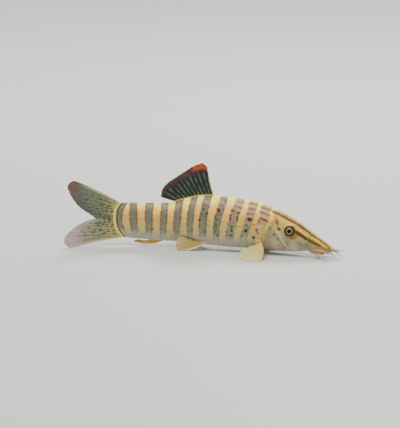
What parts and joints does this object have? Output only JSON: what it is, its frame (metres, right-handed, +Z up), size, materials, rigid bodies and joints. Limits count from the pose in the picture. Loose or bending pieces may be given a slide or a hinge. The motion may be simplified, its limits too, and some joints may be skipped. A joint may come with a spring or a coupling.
{
  "type": "tiger loach model",
  "caption": "Life-size still model of a tiger loach resting on its paired fins, with tall back fin, forked tail fin and barbels.",
  "frame": {"origin": "bottom centre of the bounding box, on the floor that the fins rest on", "axes": "+X toward the head, +Y to the fish's left, +Z up"},
  "size_m": [0.1974, 0.057, 0.0612],
  "materials": {
    "skin": "moist skin with very fine scales, dark bars on yellow and peach",
    "fin": "thin translucent membrane over pale rays",
    "eye": "glossy dark eye with a silver ring",
    "barbel": "soft moist feeler, dark at the root and pale at the tip"
  },
  "bodies": {
    "root": {"head": "skin", "trunk": "skin", "tail": "skin", "dorsal_fin": "fin", "caudal_fin_upper": "fin", "caudal_fin_lower": "fin", "anal_fin": "fin", "pectoral_fin_right": "fin", "pectoral_fin_left": "fin", "pelvic_fin_right": "fin", "pelvic_fin_left": "fin", "eye_right": "eye", "eye_left": "eye", "barbel_rostral_inner_right": "barbel", "barbel_rostral_inner_left": "barbel", "barbel_rostral_outer_right": "barbel", "barbel_rostral_outer_left": "barbel", "barbel_maxillary_right": "barbel", "barbel_maxillary_left": "barbel"}
  },
  "joints": []
}
